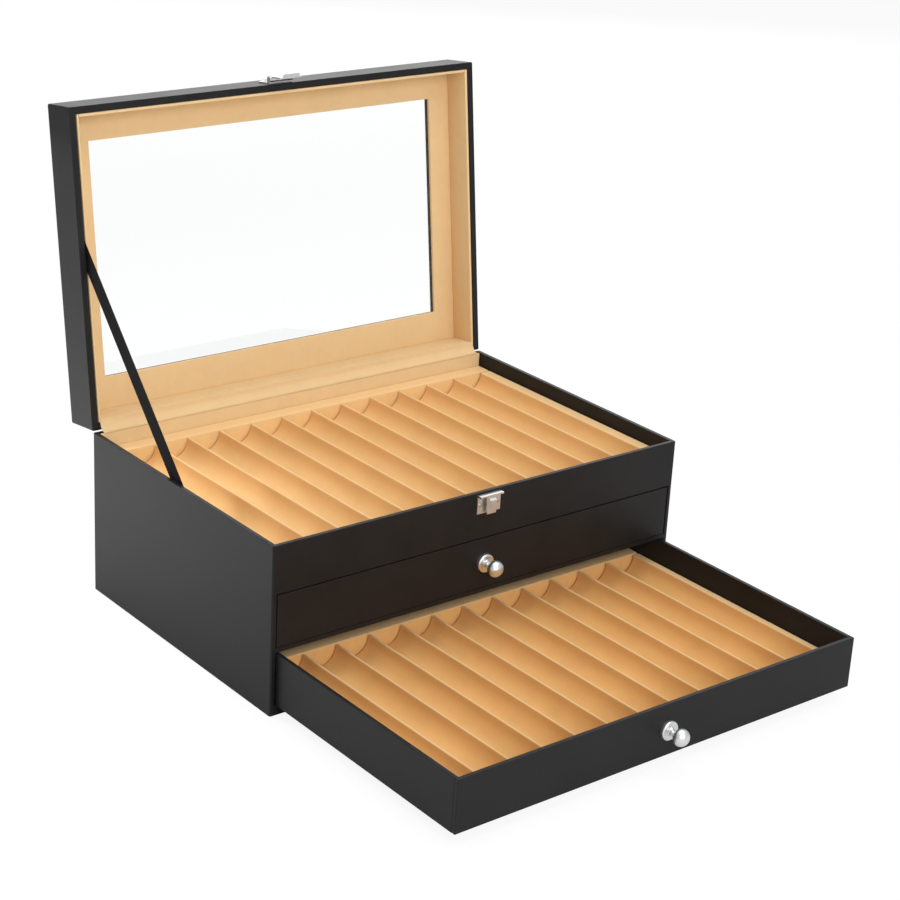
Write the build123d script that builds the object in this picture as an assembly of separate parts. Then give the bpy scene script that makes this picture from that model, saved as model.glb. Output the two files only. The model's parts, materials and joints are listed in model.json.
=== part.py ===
"""Pen collector chest.

A low box covered in black leatherette. Its glazed lid lifts on two back hinges, its upper and lower
drawers slide out of the front, and three velvet trays of half-round grooves each hold a row of pens.
The origin is the middle of the underside. X runs along the front, Y from front to back and Z up.
The chest stands open: lid up against its ribbon, upper drawer in, lower drawer out.
Lid pieces are laid out on the closed lid and then swung up about the hinge line.
"""

import os
from math import cos, radians, sin, sqrt

from build123d import *

# ---- case: boards wrapped in leatherette ----
CASE_WIDTH = 340.0
CASE_DEPTH = 221.0
COVER = 0.5  # leatherette thickness
WALL_BOARD = 2.2  # side, back and apron boards
BOTTOM_BOARD = 7.0
SHELF_BOARD = 3.2  # drawer shelf and floor of the top compartment
TOP_DEPTH = 30.0  # top compartment, floor to rim
CORNER_RADIUS = 1.2  # upright corners of the covering
EDGE_RADIUS = 0.4  # its rims
TURN_IN = 12.0  # how far the covering is turned into the drawer bays
FELT = 1.0
FELT_INSET = 3.0

# ---- lid ----
LID_HEIGHT = 29.5
LID_BOARD = 3.8
LID_TOP_BOARD = 2.0
LID_TOP_RADIUS = 0.9
SEAM = 0.8  # between rim and closed lid
LID_OPEN_ANGLE = 97.1
GLASS = 1.5
GLASS_OVERLAP = 6.0  # glass held behind the frame on each side
GLASS_CLEARANCE = 0.3
WINDOW_LINING = 3.0
WINDOW_SIDE_BORDER = 25.0  # from the lid's side to the opening in the lining
WINDOW_FRONT_BORDER = 27.0
WINDOW_REAR_BORDER = 30.0
FRAME_SETBACK = 0.9  # from the edge of the lining back to the edge of the black frame
WALL_LINING = 1.6
LINING_GAP = 0.8  # room for glue and for the ribbon behind the wall lining
LINING_SETBACK = 0.2

# ---- drawers ----
DRAWER_HEIGHT = 36.0
DRAWER_FRONT = 3.2
DRAWER_WALL = 3.0
DRAWER_BOTTOM = 2.6
DRAWER_SIDE_CLEARANCE = 1.0
DRAWER_UNDER_CLEARANCE = 0.3
DRAWER_OVER_CLEARANCE = 1.0
DRAWER_BACK_CLEARANCE = 1.3
DRAWER_PULL = 183.0  # how far the lower drawer stands out
DRAWER_EDGE_RADIUS = 0.4
DRAWER_TRAY_RECESS = 17.5  # rim of the drawer to crest of the tray

# ---- trays of grooves ----
GROOVE_PITCH = 26.33
GROOVE_RADIUS = 12.3
GROOVE_FLOOR = 1.2  # velvet-covered card left under a groove
TOP_TRAY_BASE = 1.5
TOP_TRAY_RAIL = 11.9  # strip across the ends of the grooves
DRAWER_TRAY_RAIL = 10.1
TRAY_EDGE_RADIUS = 0.8
SIDE_MARGIN = 4.0  # least flat strip beside the outer grooves
TOP_TRAY_RECESS = 10.2  # rim of the case to crest of the tray
TOP_TRAY_CLEARANCE = 0.7
DRAWER_TRAY_CLEARANCE = 0.4
BACK_LINING = 2.0
BACK_LINING_SETBACK = 0.3

# ---- knobs ----
KNOB_PLATE_RADIUS = 6.6
KNOB_PLATE = 2.8
KNOB_PLATE_DOME = 1.4  # rounding of its front edge
KNOB_NECK_RADIUS = 2.3
KNOB_NECK_FLARE = 0.7  # wider by this at both ends
KNOB_NECK = 4.4
KNOB_HEAD_RADIUS = 5.8
KNOB_HEAD = 10.2
KNOB_SCREW_RADIUS = 1.5
KNOB_SCREW_BITE = 5.5
KNOB_SCREW_HEAD_RADIUS = 2.8
KNOB_SCREW_HEAD = 1.4

# ---- butt hinges ----
HINGE_INSET = 70.0  # from the chest's side to the middle of a hinge
HINGE_LENGTH = 36.0
HINGE_LEAF = 0.8
HINGE_LEAF_WIDTH = 15.0
HINGE_KNUCKLE_RADIUS = 1.4
HINGE_PIN_RADIUS = 0.7
HINGE_KNUCKLES = 3
HINGE_KNUCKLE_GAP = 0.3
HINGE_OUT = 0.2  # from the back face to the middle of the knuckles
HINGE_ROOM = 0.3  # round the knuckles, in the grooves cut for them
HINGE_SCREW_SPREAD = 24.0
HINGE_SCREW_ROW = 9.0  # from the hinge line

# ---- latch ----
LATCH_WIDTH = 19.6
KEEPER_WIDTH = 19.4
KEEPER_HEIGHT = 13.4
KEEPER_DROP = 1.5  # below the rim
LATCH_PLATE = 1.0
KEEPER_LIP = 1.2
KEEPER_REACH = 4.2  # front of the tongue from the face
TONGUE_WIDTH = 7.6
NUB_WIDTH = 5.2
NUB_HEIGHT = 4.0
NUB_REACH = 1.5
NUB_SLOPE = 1.2  # of its upper edge, for the hasp to ride over
HASP_BASE_HEIGHT = 13.2
HASP_BASE_LIFT = 5.0  # above the lid's edge
HASP_PIN_LIFT = 4.0
HASP_PIN_RADIUS = 0.9
HASP_KNUCKLE_RADIUS = 2.2
HASP_KNUCKLE_WIDTH = 7.6
HASP_KNUCKLE_GAP = 0.3
HASP_FLAP = 1.0
HASP_FLAP_DROP = 10.6  # below the lid's edge
HASP_FLAP_CLEARANCE = 0.4  # behind the flap, to the tongue
HASP_SHOULDER_GAP = 0.4
HASP_LIFT_LIP = 2.0
HASP_BAR = 1.5  # under the flap's window
HASP_WINDOW_CLEARANCE = 0.4
PLATE_CORNER_RADIUS = 1.5
HASP_SCREW_SPREAD = 12.4
HASP_SCREW_LIFT = 8.0  # above the plate's lower edge
KEEPER_SCREW_SPREAD = 14.4
KEEPER_SCREW_DROP = 7.2  # below the keeper's top

# ---- small dome-headed screws ----
SCREW_RADIUS = 0.6
SCREW_HEAD_RADIUS = 1.3
SCREW_HEAD = 0.5
SCREW_DOME = 0.4  # rounding of the head
SCREW_BITE = 1.9  # into the boards behind the covering
HOLE_CLEARANCE = 0.05
PIN_FIT = 0.02  # pin in the knuckles that hold it
PIN_RUNNING_FIT = 0.05  # pin in the knuckles that turn on it

# ---- ribbon and cloth at the back ----
RIBBON_WIDTH = 12.0
RIBBON = 0.3
RIBBON_CASE_GAP = 0.3  # case wall to ribbon at the rim
RIBBON_LID_GAP = 0.25  # lid wall to ribbon at its hold
RIBBON_CASE_SETBACK = 102.6  # from the hinge line to the ribbon at the rim
RIBBON_LID_REACH = 128.5  # from the lid's back to the ribbon's hold
RIBBON_LID_LIFT = 6.5  # above the lid's edge
RIBBON_CASE_TUCK = 17.0
RIBBON_LID_TUCK = 12.0
CLOTH = 0.3
CLOTH_SIDE_GAP = 3.0
CLOTH_BEND_RISE = 3.2
CLOTH_BEND_SETBACK = 2.3

# ---- levels and faces that follow ----
BAY_HEIGHT = DRAWER_UNDER_CLEARANCE + DRAWER_HEIGHT + DRAWER_OVER_CLEARANCE
LOWER_BAY_Z = FELT + BOTTOM_BOARD
SHELF_Z = LOWER_BAY_Z + BAY_HEIGHT
UPPER_BAY_Z = SHELF_Z + SHELF_BOARD
TOP_FLOOR_Z = UPPER_BAY_Z + BAY_HEIGHT
TOP_BAY_Z = TOP_FLOOR_Z + SHELF_BOARD
CASE_HEIGHT = TOP_BAY_Z + TOP_DEPTH
LID_Z = CASE_HEIGHT + SEAM
LID_TOP_Z = LID_Z + LID_HEIGHT

HALF_WIDTH = CASE_WIDTH / 2
HALF_DEPTH = CASE_DEPTH / 2
BOARD_X = HALF_WIDTH - COVER  # outer face of the boards
BOARD_Y = HALF_DEPTH - COVER
INNER_X = BOARD_X - WALL_BOARD  # inner face of the case boards
INNER_Y = BOARD_Y - WALL_BOARD
BAY_X = INNER_X - COVER  # inner face of the covering
BAY_Y = INNER_Y - COVER
LID_INNER_X = BOARD_X - LID_BOARD
LID_INNER_Y = BOARD_Y - LID_BOARD
LID_BAY_X = LID_INNER_X - COVER
LID_BAY_Y = LID_INNER_Y - COVER
LID_TOP_BOARD_Z = LID_TOP_Z - COVER - LID_TOP_BOARD
FRAME_Z = LID_TOP_BOARD_Z - COVER  # underside of the lid's covered frame
GLASS_Z = FRAME_Z - GLASS
WINDOW_LINING_Z = GLASS_Z - WINDOW_LINING

HINGE_Y = HALF_DEPTH + HINGE_OUT
HINGE_Z = CASE_HEIGHT + SEAM / 2
HINGE_X = HALF_WIDTH - HINGE_INSET

DRAWER_HALF_WIDTH = BAY_X - DRAWER_SIDE_CLEARANCE
DRAWER_BACK_Y = INNER_Y - DRAWER_BACK_CLEARANCE
GROOVE_CREST = GROOVE_PITCH / 2 - GROOVE_RADIUS
RIDGE_HEIGHT = GROOVE_FLOOR + GROOVE_RADIUS + GROOVE_CREST
TOP_TRAY_CREST_Z = CASE_HEIGHT - TOP_TRAY_RECESS
TOP_TRAY_Z = TOP_TRAY_CREST_Z - RIDGE_HEIGHT - TOP_TRAY_BASE

HASP_PIN_OUT = KEEPER_REACH + HASP_FLAP_CLEARANCE + HASP_FLAP - HASP_KNUCKLE_RADIUS
HASP_PIN_Y = -HALF_DEPTH - HASP_PIN_OUT
HASP_PIN_Z = LID_Z + HASP_PIN_LIFT


# ---- shape helpers ----
def block(x, y, z):
    """A box from its (low, high) pairs along X, Y and Z."""
    return Pos(sum(x) / 2, sum(y) / 2, sum(z) / 2) * Box(x[1] - x[0], y[1] - y[0], z[1] - z[0])


def slab(half_x, half_y, z):
    """A box centred on the chest's middle."""
    return block((-half_x, half_x), (-half_y, half_y), z)


def rod_x(radius, x, y, z):
    """A round bar along X between a (low, high) pair, at y and z."""
    return Pos(sum(x) / 2, y, z) * Rot(Y=90) * Cylinder(radius, x[1] - x[0])


def bar_y(radius, x, y, z):
    """A round bar along Y between a (low, high) pair, at x and z."""
    return Pos(x, sum(y) / 2, z) * Rot(X=90) * Cylinder(radius, y[1] - y[0])


def top_edges(shape, radius):
    """Rounds the edges of the highest faces."""
    return fillet(shape.faces().sort_by(Axis.Z)[-1].edges(), radius)


def swing_lid(shape):
    """Turns a closed-lid piece up to the open lid."""
    return Pos(0, HINGE_Y, HINGE_Z) * Rot(X=-LID_OPEN_ANGLE) * Pos(0, -HINGE_Y, -HINGE_Z) * shape


def lid_point(reach, lift):
    """Y and Z on the open lid, from its back face towards its front and from its edge upwards."""
    y = HALF_DEPTH - reach - HINGE_Y
    z = LID_Z + lift - HINGE_Z
    angle = -radians(LID_OPEN_ANGLE)
    return HINGE_Y + y * cos(angle) - z * sin(angle), HINGE_Z + y * sin(angle) + z * cos(angle)


def mirrored(shape):
    return mirror(shape, Plane.YZ)


def group(pieces):
    """Several separate solids as one set."""
    return Compound([solid for piece in pieces for solid in piece.solids()])


# ---- screws ----
def screw(x, y, z, through, bite, facing):
    """A dome-headed screw along Y whose head lies on the face at y; facing is -1 for the front."""
    length = through + bite
    shank = Pos(0, 0, -length / 2) * Cylinder(SCREW_RADIUS, length)
    head = Cylinder(SCREW_HEAD_RADIUS, SCREW_HEAD, align=(Align.CENTER, Align.CENTER, Align.MIN))
    head = fillet(head.edges().sort_by(Axis.Z)[-1], SCREW_DOME)
    return Pos(x, y, z) * Rot(X=-90 * facing) * (shank + head)


def screw_hole(x, y, z, depth, facing):
    low, high = sorted((y, y - facing * depth))
    return bar_y(SCREW_RADIUS + HOLE_CLEARANCE, x, (low, high), z)


def hinge_screw_places():
    """X of each hinge screw, on both hinges."""
    return [side * HINGE_X + step * HINGE_SCREW_SPREAD / 2 for side in (-1, 1) for step in (-1, 1)]


CASE_HINGE_SCREW_Z = HINGE_Z - HINGE_SCREW_ROW
LID_HINGE_SCREW_Z = HINGE_Z + HINGE_SCREW_ROW
KEEPER_TOP_Z = CASE_HEIGHT - KEEPER_DROP
KEEPER_SCREW_Z = KEEPER_TOP_Z - KEEPER_SCREW_DROP
HASP_SCREW_Z = LID_Z + HASP_BASE_LIFT + HASP_SCREW_LIFT
KEEPER_SCREW_X = (-KEEPER_SCREW_SPREAD / 2, KEEPER_SCREW_SPREAD / 2)
HASP_SCREW_X = (-HASP_SCREW_SPREAD / 2, HASP_SCREW_SPREAD / 2)
SCREW_DEPTH = COVER + SCREW_BITE + HOLE_CLEARANCE


def case_screw_holes():
    back = [screw_hole(x, HALF_DEPTH, CASE_HINGE_SCREW_Z, SCREW_DEPTH, 1) for x in hinge_screw_places()]
    front = [screw_hole(x, -HALF_DEPTH, KEEPER_SCREW_Z, SCREW_DEPTH, -1) for x in KEEPER_SCREW_X]
    return back, front


def lid_screw_holes():
    back = [screw_hole(x, HALF_DEPTH, LID_HINGE_SCREW_Z, SCREW_DEPTH, 1) for x in hinge_screw_places()]
    front = [screw_hole(x, -HALF_DEPTH, HASP_SCREW_Z, SCREW_DEPTH, -1) for x in HASP_SCREW_X]
    return back, front


# ---- case ----
def hinge_grooves():
    """Room for the knuckles in the rims of the case and the lid."""
    half = HINGE_LENGTH / 2 + HINGE_ROOM
    return both_hinges(rod_x(HINGE_KNUCKLE_RADIUS + HINGE_ROOM, (-half, half), HINGE_Y, HINGE_Z))


def case_boards():
    """The boards that the covering is glued to, by name."""
    board_top = CASE_HEIGHT - COVER
    back_holes, front_holes = case_screw_holes()
    side = block((-BOARD_X, -INNER_X), (-BOARD_Y, BOARD_Y), (FELT, board_top))
    back = block((-INNER_X, INNER_X), (INNER_Y, BOARD_Y), (FELT, board_top))
    apron = block((-INNER_X, INNER_X), (-BOARD_Y, -INNER_Y), (TOP_FLOOR_Z, board_top))
    return {
        "case_side_left": side,
        "case_side_right": mirrored(side),
        "case_back": back - back_holes - hinge_grooves(),
        "case_front_apron": apron - front_holes,
        "case_bottom": block((-INNER_X, INNER_X), (-BOARD_Y, INNER_Y), (FELT, LOWER_BAY_Z)),
        "drawer_shelf": block((-INNER_X, INNER_X), (-BOARD_Y, INNER_Y), (SHELF_Z, UPPER_BAY_Z)),
        "top_compartment_floor": slab(INNER_X, INNER_Y, (TOP_FLOOR_Z, TOP_BAY_Z)),
    }


def case_cover(boards):
    """Leatherette over the outside, the rims, the top compartment's walls and the bays' mouths."""
    outside = slab(HALF_WIDTH, HALF_DEPTH, (FELT, CASE_HEIGHT))
    outside = fillet(outside.edges().filter_by(Axis.Z), CORNER_RADIUS)
    above = CASE_HEIGHT + COVER
    outside -= slab(BAY_X, BAY_Y, (TOP_BAY_Z, above))
    outside = top_edges(outside, EDGE_RADIUS)
    mouth_y = (-HALF_DEPTH - COVER, TURN_IN - HALF_DEPTH)
    mouth = [block((-BAY_X, BAY_X), mouth_y, (z, z + BAY_HEIGHT)) for z in (LOWER_BAY_Z, UPPER_BAY_Z)]
    inside = block((-INNER_X, INNER_X), (TURN_IN - HALF_DEPTH, INNER_Y), (FELT, TOP_BAY_Z))
    back_holes, front_holes = case_screw_holes()
    outside -= hinge_grooves()
    return outside - mouth - inside - list(boards.values()) - back_holes - front_holes


def base_felt():
    felt = slab(HALF_WIDTH - FELT_INSET, HALF_DEPTH - FELT_INSET, (0, FELT))
    return fillet(felt.edges().filter_by(Axis.Z), CORNER_RADIUS)


# ---- trays ----
def groove_count(width):
    return int((width - 2 * SIDE_MARGIN) / GROOVE_PITCH)


def groove_profile(reach, z):
    """One flank of a ridge: from the groove's middle at reach up to the crest, as two arcs."""
    diagonal = GROOVE_RADIUS * sqrt(0.5)
    crest_z = z + GROOVE_FLOOR + GROOVE_RADIUS
    return ThreePointArc(
        (reach, z + GROOVE_FLOOR), (reach - diagonal, crest_z - diagonal), (GROOVE_CREST, crest_z)
    )


def extrude_y(outline, y):
    """A solid of a closed X-Z outline between a (front, back) pair."""
    return extrude(Plane.XZ.offset(-y[1]) * make_face(outline), y[1] - y[0])


def inner_ridge(x, y, z):
    """A ridge between two grooves, from the middle of one to the middle of the next."""
    half = GROOVE_PITCH / 2
    crest_z = z + GROOVE_FLOOR + GROOVE_RADIUS
    right = groove_profile(half, z)
    crest = ThreePointArc((GROOVE_CREST, crest_z), (0, crest_z + GROOVE_CREST), (-GROOVE_CREST, crest_z))
    foot = Polyline((-half, z + GROOVE_FLOOR), (-half, z), (half, z), (half, z + GROOVE_FLOOR))
    outline = foot + right + crest + mirror(right, Plane.YZ)
    return Pos(x, 0, 0) * extrude_y(outline, y)


def side_ridge(x, margin, y, z):
    """The left edge of a tray: a flat strip whose right flank is half of the first groove."""
    half = GROOVE_PITCH / 2
    crest_z = z + GROOVE_FLOOR + GROOVE_RADIUS
    top = crest_z + GROOVE_CREST
    bend = GROOVE_CREST * sqrt(0.5)
    crest = ThreePointArc((GROOVE_CREST, crest_z), (bend, crest_z + bend), (0, top))
    edge = -margin
    rounded = ThreePointArc(
        (edge + TRAY_EDGE_RADIUS, top),
        (edge + TRAY_EDGE_RADIUS * (1 - sqrt(0.5)), top - TRAY_EDGE_RADIUS * (1 - sqrt(0.5))),
        (edge, top - TRAY_EDGE_RADIUS),
    )
    strip = Line((0, top), (edge + TRAY_EDGE_RADIUS, top))
    foot = Polyline((edge, top - TRAY_EDGE_RADIUS), (edge, z), (half, z), (half, z + GROOVE_FLOOR))
    return Pos(x, 0, 0) * extrude_y(foot + groove_profile(half, z) + crest + strip + rounded, y)


def tray(prefix, half_width, y, z, rail):
    """A velvet tray: its base, its ridges and the rails across their ends."""
    count = groove_count(2 * half_width)
    first = -count * GROOVE_PITCH / 2
    ridge_z = z[1] - RIDGE_HEIGHT
    ridge_y = (y[0] + rail, y[1] - rail)
    edge = side_ridge(first, first + half_width, ridge_y, ridge_z)
    ridges = [inner_ridge(first + step * GROOVE_PITCH, ridge_y, ridge_z) for step in range(1, count)]
    rails = [
        top_edges(block((-half_width, half_width), rail_y, (ridge_z, z[1])), TRAY_EDGE_RADIUS)
        for rail_y in ((y[0], ridge_y[0]), (ridge_y[1], y[1]))
    ]
    return {
        prefix + "_tray_base": block((-half_width, half_width), y, (z[0], ridge_z)),
        prefix + "_tray_ridges": group([edge, *ridges, mirrored(edge)]),
        prefix + "_tray_rails": group(rails),
    }


def top_tray():
    front = -BAY_Y + DRAWER_TRAY_CLEARANCE
    back = BAY_Y - BACK_LINING - DRAWER_TRAY_CLEARANCE
    half_width = BAY_X - TOP_TRAY_CLEARANCE
    riser = block((-half_width, half_width), (front, back), (TOP_BAY_Z, TOP_TRAY_Z))
    lining_z = (TOP_BAY_Z, CASE_HEIGHT - BACK_LINING_SETBACK)
    lining_x = (-BAY_X + RIBBON, BAY_X - RIBBON)
    pieces = tray("top", half_width, (front, back), (TOP_TRAY_Z, TOP_TRAY_CREST_Z), TOP_TRAY_RAIL)
    pieces["top_tray_riser"] = riser
    pieces["back_lining"] = block(lining_x, (BAY_Y - BACK_LINING, BAY_Y), lining_z)
    return pieces


# ---- drawers ----
def knob_pieces(z):
    """Knob, plate and screw at the middle of a drawer front, which stands at the case's face."""
    face = -HALF_DEPTH
    plate = Cylinder(KNOB_PLATE_RADIUS, KNOB_PLATE, align=(Align.CENTER, Align.CENTER, Align.MIN))
    plate = fillet(plate.edges().sort_by(Axis.Z)[-1], KNOB_PLATE_DOME)
    bore = KNOB_PLATE + KNOB_SCREW_BITE
    plate -= Cylinder(KNOB_SCREW_RADIUS + HOLE_CLEARANCE, 2 * bore)
    neck_end = KNOB_NECK_RADIUS + KNOB_NECK_FLARE
    neck_top = KNOB_PLATE + KNOB_NECK
    flattening = KNOB_HEAD / 2 / KNOB_HEAD_RADIUS
    head_middle = neck_top + flattening * sqrt(KNOB_HEAD_RADIUS**2 - neck_end**2)
    neck = ThreePointArc(
        (neck_end, KNOB_PLATE), (KNOB_NECK_RADIUS, KNOB_PLATE + KNOB_NECK / 2), (neck_end, neck_top)
    )
    corner = (neck_end, head_middle)
    rest = Polyline((neck_end, neck_top), corner, (0, head_middle), (0, KNOB_PLATE), (neck_end, KNOB_PLATE))
    knob = revolve(make_face(Plane.XZ * (neck + rest)), Axis.Z)
    knob += Pos(0, 0, head_middle) * scale(Sphere(KNOB_HEAD_RADIUS), by=(1, 1, flattening))
    knob -= Cylinder(KNOB_SCREW_RADIUS + HOLE_CLEARANCE, 2 * bore)
    stand = Pos(0, face, z) * Rot(X=90)
    shank_length = DRAWER_FRONT + bore - HOLE_CLEARANCE
    shank = Pos(0, 0, shank_length / 2 - DRAWER_FRONT) * Cylinder(KNOB_SCREW_RADIUS, shank_length)
    return {
        "knob_plate": stand * plate,
        "knob": stand * knob,
        "knob_screw": stand * (shank + countersunk(0)),
    }


def countersunk(clearance):
    """A countersunk head, flush with the inside of a drawer front."""
    head = Cone(
        KNOB_SCREW_HEAD_RADIUS + clearance,
        KNOB_SCREW_RADIUS + clearance,
        KNOB_SCREW_HEAD,
        align=(Align.CENTER, Align.CENTER, Align.MIN),
    )
    return Pos(0, 0, -DRAWER_FRONT) * head


def drawer(prefix, bay_z, pull):
    """One drawer with its tray and knob, standing out by pull."""
    low = bay_z + DRAWER_UNDER_CLEARANCE
    high = low + DRAWER_HEIGHT
    knob_z = (low + high) / 2
    half = DRAWER_HALF_WIDTH
    inner = half - DRAWER_WALL
    front_y = -HALF_DEPTH
    inside_y = front_y + DRAWER_FRONT
    back_inside_y = DRAWER_BACK_Y - DRAWER_WALL
    front = block((-half, half), (front_y, inside_y), (low, high))
    front = fillet(front.edges(), DRAWER_EDGE_RADIUS)
    screw_seat = bar_y(KNOB_SCREW_RADIUS + HOLE_CLEARANCE, 0, (front_y - COVER, inside_y), knob_z)
    seat_cone = Pos(0, front_y, knob_z) * Rot(X=90) * countersunk(HOLE_CLEARANCE)
    side = block((-half, -inner), (inside_y, DRAWER_BACK_Y), (low, high))
    side = top_edges(side, DRAWER_EDGE_RADIUS)
    back = block((-inner, inner), (back_inside_y, DRAWER_BACK_Y), (low, high))
    floor_z = low + DRAWER_BOTTOM
    pieces = {
        prefix + "_front": front - screw_seat - seat_cone,
        prefix + "_side_left": side,
        prefix + "_side_right": mirrored(side),
        prefix + "_back": top_edges(back, DRAWER_EDGE_RADIUS),
        prefix + "_bottom": block((-inner, inner), (inside_y, back_inside_y), (low, floor_z)),
    }
    tray_y = (inside_y + DRAWER_TRAY_CLEARANCE, back_inside_y - DRAWER_TRAY_CLEARANCE)
    tray_z = (floor_z, high - DRAWER_TRAY_RECESS)
    pieces.update(tray(prefix, inner - DRAWER_TRAY_CLEARANCE, tray_y, tray_z, DRAWER_TRAY_RAIL))
    for name, piece in knob_pieces(knob_z).items():
        pieces[f"{prefix}_{name}"] = piece
    return {name: Pos(0, -pull, 0) * piece for name, piece in pieces.items()}


# ---- lid ----
def window_hole(inset, z):
    """The lid's window, drawn in by inset on every side."""
    x = HALF_WIDTH - WINDOW_SIDE_BORDER - inset
    y = (WINDOW_FRONT_BORDER + inset - HALF_DEPTH, HALF_DEPTH - WINDOW_REAR_BORDER - inset)
    return block((-x, x), y, z)


def lid_boards():
    """The lid's boards, closed, by name."""
    low = LID_Z + COVER
    high = LID_TOP_BOARD_Z
    back_holes, front_holes = lid_screw_holes()
    side = block((-BOARD_X, -LID_INNER_X), (-BOARD_Y, BOARD_Y), (low, high))
    back = block((-LID_INNER_X, LID_INNER_X), (LID_INNER_Y, BOARD_Y), (low, high))
    front = block((-LID_INNER_X, LID_INNER_X), (-BOARD_Y, -LID_INNER_Y), (low, high))
    board_z = (high, high + LID_TOP_BOARD)
    return {
        "lid_side_left": side,
        "lid_side_right": mirrored(side),
        "lid_back": back - back_holes - hinge_grooves(),
        "lid_front": front - front_holes,
        "lid_top_frame": slab(BOARD_X, BOARD_Y, board_z) - window_hole(-FRAME_SETBACK - COVER, board_z),
    }


def lid_cover(boards):
    """Leatherette over the whole lid, in through the window and round the rim."""
    outside = slab(HALF_WIDTH, HALF_DEPTH, (LID_Z, LID_TOP_Z))
    outside = fillet(outside.edges().filter_by(Axis.Z), CORNER_RADIUS)
    outside = top_edges(outside, LID_TOP_RADIUS)
    outside -= slab(LID_BAY_X, LID_BAY_Y, (LID_Z, FRAME_Z))
    rim = outside.faces().sort_by(Axis.Z)[0]
    outside = fillet(rim.edges(), EDGE_RADIUS)
    outside -= window_hole(-FRAME_SETBACK, (FRAME_Z, LID_TOP_Z))
    back_holes, front_holes = lid_screw_holes()
    outside -= hinge_grooves()
    return outside - list(boards.values()) - back_holes - front_holes


def lid_glazing():
    """Glass, the card round it and the velvet panel that holds both up against the frame."""
    layer = (GLASS_Z, FRAME_Z)
    overlap = -FRAME_SETBACK - GLASS_OVERLAP
    spacer = slab(LID_BAY_X - GLASS_CLEARANCE, LID_BAY_Y - GLASS_CLEARANCE, layer)
    lining_z = (WINDOW_LINING_Z, GLASS_Z)
    lining = slab(LID_BAY_X - GLASS_CLEARANCE, LID_BAY_Y - GLASS_CLEARANCE, lining_z)
    return {
        "lid_glass": window_hole(overlap, layer),
        "lid_glass_spacer": spacer - window_hole(overlap - GLASS_CLEARANCE, layer),
        "lid_window_lining": lining - window_hole(0, lining_z),
    }


def lid_wall_linings():
    """Velvet-covered strips inside the lid's four walls."""
    outer_x = LID_BAY_X - LINING_GAP
    outer_y = LID_BAY_Y - LINING_GAP
    z = (LID_Z + LINING_SETBACK, WINDOW_LINING_Z)
    side = block((-outer_x, WALL_LINING - outer_x), (-outer_y, outer_y), z)
    inner_x = outer_x - WALL_LINING
    front = block((-inner_x, inner_x), (-outer_y, WALL_LINING - outer_y), z)
    return group([side, mirrored(side), front, mirror(front, Plane.XZ)])


# ---- hinges ----
def knuckle_spans():
    """The (low, high) X pair of each knuckle of a hinge, about its middle."""
    length = HINGE_LENGTH / HINGE_KNUCKLES
    start = -HINGE_LENGTH / 2
    trim = HINGE_KNUCKLE_GAP / 2
    return [(start + i * length + trim, start + (i + 1) * length - trim) for i in range(HINGE_KNUCKLES)]


def hinge_leaf(upward, first, fit):
    """A leaf on the back face with every second knuckle, starting from the given one."""
    back = (HALF_DEPTH, HALF_DEPTH + HINGE_LEAF)
    near = HINGE_Z + upward * (HINGE_KNUCKLE_RADIUS + HINGE_KNUCKLE_GAP)
    far = HINGE_Z + upward * HINGE_LEAF_WIDTH
    leaf = block((-HINGE_LENGTH / 2, HINGE_LENGTH / 2), back, sorted((near, far)))
    leaf = fillet(
        leaf.edges().filter_by(Axis.Y).sort_by(Axis.Z, reverse=upward > 0)[:2], PLATE_CORNER_RADIUS
    )
    for span in knuckle_spans()[first::2]:
        leaf += rod_x(HINGE_KNUCKLE_RADIUS, span, HINGE_Y, HINGE_Z)
        leaf += block(span, back, sorted((HINGE_Z, far - upward * PLATE_CORNER_RADIUS)))
    leaf -= rod_x(HINGE_PIN_RADIUS + fit, (-HINGE_LENGTH, HINGE_LENGTH), HINGE_Y, HINGE_Z)
    return leaf


def both_hinges(shape):
    return group([Pos(-HINGE_X, 0, 0) * shape, Pos(HINGE_X, 0, 0) * shape])


def hinge_leaves(upward, first, fit, screw_z):
    leaves = both_hinges(hinge_leaf(upward, first, fit))
    holes = [
        screw_hole(x, HALF_DEPTH + HINGE_LEAF, screw_z, HINGE_LEAF, 1) for x in hinge_screw_places()
    ]
    return leaves - holes


def hinge_screws(screw_z):
    face = HALF_DEPTH + HINGE_LEAF
    through = HINGE_LEAF + COVER
    return group([screw(x, face, screw_z, through, SCREW_BITE, 1) for x in hinge_screw_places()])


def hinge_pins():
    half = HINGE_LENGTH / 2 - HINGE_KNUCKLE_GAP / 2
    return both_hinges(rod_x(HINGE_PIN_RADIUS, (-half, half), HINGE_Y, HINGE_Z))


# ---- latch ----
def out(near, far):
    """The Y pair of something that stands off the front face by near to far."""
    return (-HALF_DEPTH - far, -HALF_DEPTH - near)


def centred(width):
    return (-width / 2, width / 2)


def face_corners(shape, radius):
    """Rounds the corners of a plate that lies on the front face."""
    return fillet(shape.edges().filter_by(Axis.Y), radius)


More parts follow.
